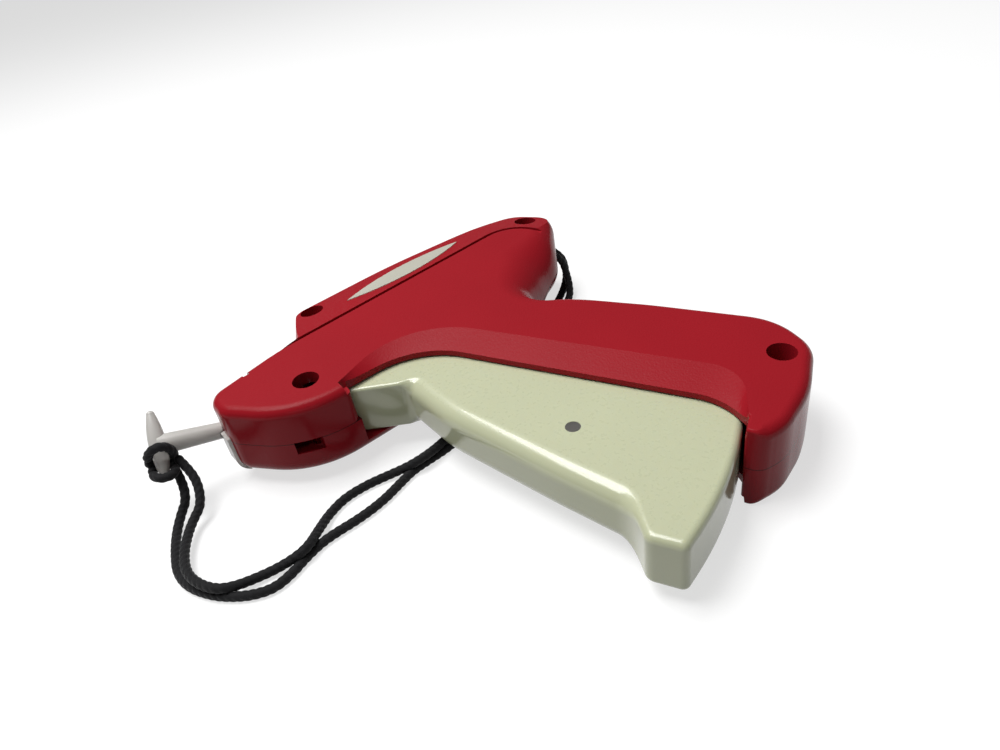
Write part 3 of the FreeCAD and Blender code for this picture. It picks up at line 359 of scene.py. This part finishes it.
def moulded_grain():
    """Fine pebbled texture on faces that point up or down, none on the polished walls."""
    tree, inp, out = group(
        "moulded_grain", {"Size": "Float", "Depth": "Float", "Polish": "Float", "Rough": "Float"},
        {"Height": "Float", "Roughness": "Float"})
    place = tree.nodes.new("ShaderNodeTexCoord")
    normal = tree.nodes.new("ShaderNodeSeparateXYZ")
    wire(tree, place.outputs["Normal"], normal.inputs[0])
    mask = ramp(tree, math_node(tree, "ABSOLUTE", normal.outputs["Z"]),
                GRAIN_STARTS, GRAIN_IS_FULL, kind="SMOOTHSTEP")
    pebble = tree.nodes.new("ShaderNodeTexVoronoi")
    pebble.feature = "SMOOTH_F1"
    wire(tree, place.outputs["Object"], pebble.inputs["Vector"])
    soft = noise(tree, place.outputs["Object"], 4)
    for node in (pebble, soft):
        wire(tree, inp.outputs["Size"], node.inputs["Scale"])
    both = math_node(tree, "ADD", pebble.outputs["Distance"], soft.outputs["Fac"])
    height = math_node(tree, "MULTIPLY", math_node(tree, "MULTIPLY", both, inp.outputs["Depth"]),
                       mask)
    mix = tree.nodes.new("ShaderNodeMix")
    wire(tree, mask, mix.inputs["Factor"])
    wire(tree, inp.outputs["Polish"], mix.inputs["A"])
    wire(tree, inp.outputs["Rough"], mix.inputs["B"])
    speck = math_node(tree, "MULTIPLY", math_node(tree, "SUBTRACT", soft.outputs["Fac"], 0.5),
                      GRAIN_SPECK)
    rough = math_node(tree, "ADD", mix.outputs["Result"], math_node(tree, "MULTIPLY", speck, mask))
    wire(tree, height, out.inputs["Height"])
    wire(tree, rough, out.inputs["Roughness"])
    return tree


def slow_tone():
    """Colour moved a little lighter and darker by slow noise."""
    tree, inp, out = group(
        "slow_tone", {"Color": "Color", "Size": "Float", "Amount": "Float"}, {"Color": "Color"})
    place = tree.nodes.new("ShaderNodeTexCoord")
    slow = noise(tree, place.outputs["Object"], 3)
    wire(tree, inp.outputs["Size"], slow.inputs["Scale"])
    shift = math_node(tree, "MULTIPLY", math_node(tree, "SUBTRACT", slow.outputs["Fac"], 0.5),
                      inp.outputs["Amount"])
    value = math_node(tree, "ADD", math_node(tree, "MULTIPLY", shift, 2.0), 1.0)
    wire(tree, scaled_value(tree, inp.outputs["Color"], value), out.inputs["Color"])
    return tree


def joint_painted_shade():
    """Painted shade of the groove where the casing's halves meet: a thin dark line in the colour.
    """
    tree, inp, out = group("joint_painted_shade", {"Color": "Color"}, {"Color": "Color"})
    place = tree.nodes.new("ShaderNodeTexCoord")
    up = lay_direction((0, 0, 1))
    rise = tree.nodes.new("ShaderNodeVectorMath")
    rise.operation = "DOT_PRODUCT"
    wire(tree, place.outputs["Object"], rise.inputs[0])
    rise.inputs[1].default_value = up
    off = math_node(tree, "SUBTRACT", rise.outputs["Value"], up.dot(lay((0, 0, JOINT_HEIGHT))))
    shade = ramp(tree, math_node(tree, "ABSOLUTE", off), JOINT_DARKEST * MM, JOINT_ENDS * MM,
                 JOINT_SHADE)
    wire(tree, scaled_value(tree, inp.outputs["Color"], shade), out.inputs["Color"])
    return tree


GRAIN_GROUP = moulded_grain()
TONE_GROUP = slow_tone()
JOINT_SHADE_GROUP = joint_painted_shade()


def finish_base(name, color, roughness, size, amount, sockets):
    """Principled material with slow changes of tone; sockets are set on the shader."""
    made = bpy.data.materials.new(name)
    made.use_nodes = True
    tree = made.node_tree
    shader = tree.nodes["Principled BSDF"]
    shader.inputs["Roughness"].default_value = roughness
    for label, value in sockets.items():
        shader.inputs[label].default_value = value
    tone = place_group(tree, TONE_GROUP, Color=(*color, 1), Size=size, Amount=amount)
    wire(tree, tone.outputs["Color"], shader.inputs["Base Color"])
    return made, tree, shader, tone


def bump(tree, shader, height, strength, distance):
    node = tree.nodes.new("ShaderNodeBump")
    node.inputs["Strength"].default_value = strength
    node.inputs["Distance"].default_value = distance
    wire(tree, height, node.inputs["Height"])
    wire(tree, node.outputs["Normal"], shader.inputs["Normal"])


# Painted shade: darkens the casing's colour in a thin line where its halves meet
def add_joint_shade(tree, shader, tone):
    line = place_group(tree, JOINT_SHADE_GROUP)
    wire(tree, tone.outputs["Color"], line.inputs["Color"])
    wire(tree, line.outputs["Color"], shader.inputs["Base Color"])


def add_grain(tree, shader, sockets, strength, distance):
    grain = place_group(tree, GRAIN_GROUP, **sockets)
    bump(tree, shader, grain.outputs["Height"], strength, distance)
    wire(tree, grain.outputs["Roughness"], shader.inputs["Roughness"])


def add_fibres(tree, shader):
    """Fine fibres along the plies of the yarn."""
    place = tree.nodes.new("ShaderNodeUVMap")
    place.uv_map = "along"
    stretch = tree.nodes.new("ShaderNodeMapping")
    stretch.inputs["Scale"].default_value = FIBRE_STRETCH
    wire(tree, place.outputs["UV"], stretch.inputs["Vector"])
    fibre = noise(tree, stretch.outputs["Vector"], 4)
    fibre.inputs["Scale"].default_value = FIBRE_SIZE
    bump(tree, shader, fibre.outputs["Fac"], *FIBRE_BUMP)


def dress():
    """Gives every solid its finish, by the record's slots, and returns the finishes."""
    finishes = {}
    for key, row in FINISHES.items():
        finishes[key], tree, shader, tone = finish_base(*row)
        if key == "casing_red":
            # painted shade along the joint between the casing's halves
            add_joint_shade(tree, shader, tone)
        if key in GRAINS:
            add_grain(tree, shader, *GRAINS[key])
        if key == "cord_black":
            add_fibres(tree, shader)
    for part in frame["record"]["subparts"]:
        for slot in frame["nodes"][part["node"]].material_slots:
            slot.material = finishes[part["material_slot"]]
    return finishes


# ---- lanyard ----

def strands(finish):
    """The two strands between the cap's bar and the casing's rear."""
    for letter, points in (("a", STRAND_A), ("b", STRAND_B)):
        line = smooth_line((np.array(points) + SHIFT) * MM)
        piece = rope("cord_strand_" + letter, line, finish)
        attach(piece, "casing")
        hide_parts("lanyard_strand_" + letter)


def hitch(finish):
    """Two turns of the same cord round the bar: ellipses that lean apart at the front."""
    axis = Vector(CAP_AXIS).normalized()
    along = Vector(BAR_DIR)
    along = (along - axis * along.dot(axis)).normalized()
    across = along.cross(axis)
    middle = Vector(CAP_MOUTH) + axis * CAP_LENGTH
    a = np.linspace(0, 2 * math.pi, HITCH_POINTS)
    u, v, w = (np.array(lay_direction(d)) for d in (axis, across, along))
    for number, (at, wide, deep, lean) in enumerate(HITCH):
        centre = np.array(lay(middle + along * at))
        ring = (u * (wide * np.cos(a))[:, None] + v * (deep * np.sin(a))[:, None]
                + w * (lean * np.sin(a))[:, None])
        piece = rope("hitch_turn_%d" % (number + 1), centre + ring * MM, finish)
        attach(piece, "cap")
        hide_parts("lanyard_hitch")


# ---- floor and light ----

def seen_by(tree, *kinds):
    """1 for rays of these kinds, 0 for others."""
    path = tree.nodes.new("ShaderNodeLightPath")
    seen = path.outputs[kinds[0]]
    for kind in kinds[1:]:
        seen = math_node(tree, "MAXIMUM", seen, path.outputs[kind])
    return seen


def floor():
    corners = ((-1, -1, 0), (1, -1, 0), (1, 1, 0), (-1, 1, 0))
    made = bpy.data.materials.new("pale_floor")
    made.use_nodes = True
    tree = made.node_tree
    shader = tree.nodes["Principled BSDF"]
    shader.inputs["Base Color"].default_value = (FLOOR_GREY, FLOOR_GREY, FLOOR_GREY, 1)
    shader.inputs["Roughness"].default_value = FLOOR_ROUGHNESS
    shader.inputs["Specular IOR Level"].default_value = 0.0
    shader.inputs["Emission Color"].default_value = (1, 1, 1, 1)
    seen = seen_by(tree, "Is Camera Ray", "Is Glossy Ray", "Is Transmission Ray")
    wire(tree, math_node(tree, "MULTIPLY", seen, FLOOR_GLOW), shader.inputs["Emission Strength"])
    new_piece("pale_floor", np.array(corners) * FLOOR_REACH, np.array([[0, 1, 2, 3]]),
                       made)


def lights():
    for name, at, aim, size, power in LIGHTS:
        data = bpy.data.lights.new(name, "AREA")
        data.shape = "RECTANGLE"
        data.size, data.size_y = size
        data.energy = power
        obj = bpy.data.objects.new(name, data)
        bpy.context.collection.objects.link(obj)
        obj.location = at
        obj.rotation_euler = (Vector(aim) - Vector(at)).to_track_quat("-Z", "Y").to_euler()


def world():
    made = bpy.data.worlds.new("studio")
    bpy.context.scene.world = made
    made.use_nodes = True
    tree = made.node_tree
    back = tree.nodes["Background"]
    back.inputs["Color"].default_value = (1, 1, 1, 1)
    seen = seen_by(tree, "Is Camera Ray", "Is Transmission Ray")
    rest = math_node(tree, "MULTIPLY", seen, 1.0 - WORLD_LIGHT)
    wire(tree, math_node(tree, "ADD", rest, WORLD_LIGHT), back.inputs["Strength"])


bpy.context.scene.view_settings.view_transform = "Standard"
camera()
finishes = dress()
strands(finishes["cord_black"])
hitch(finishes["cord_black"])
floor()
lights()
world()
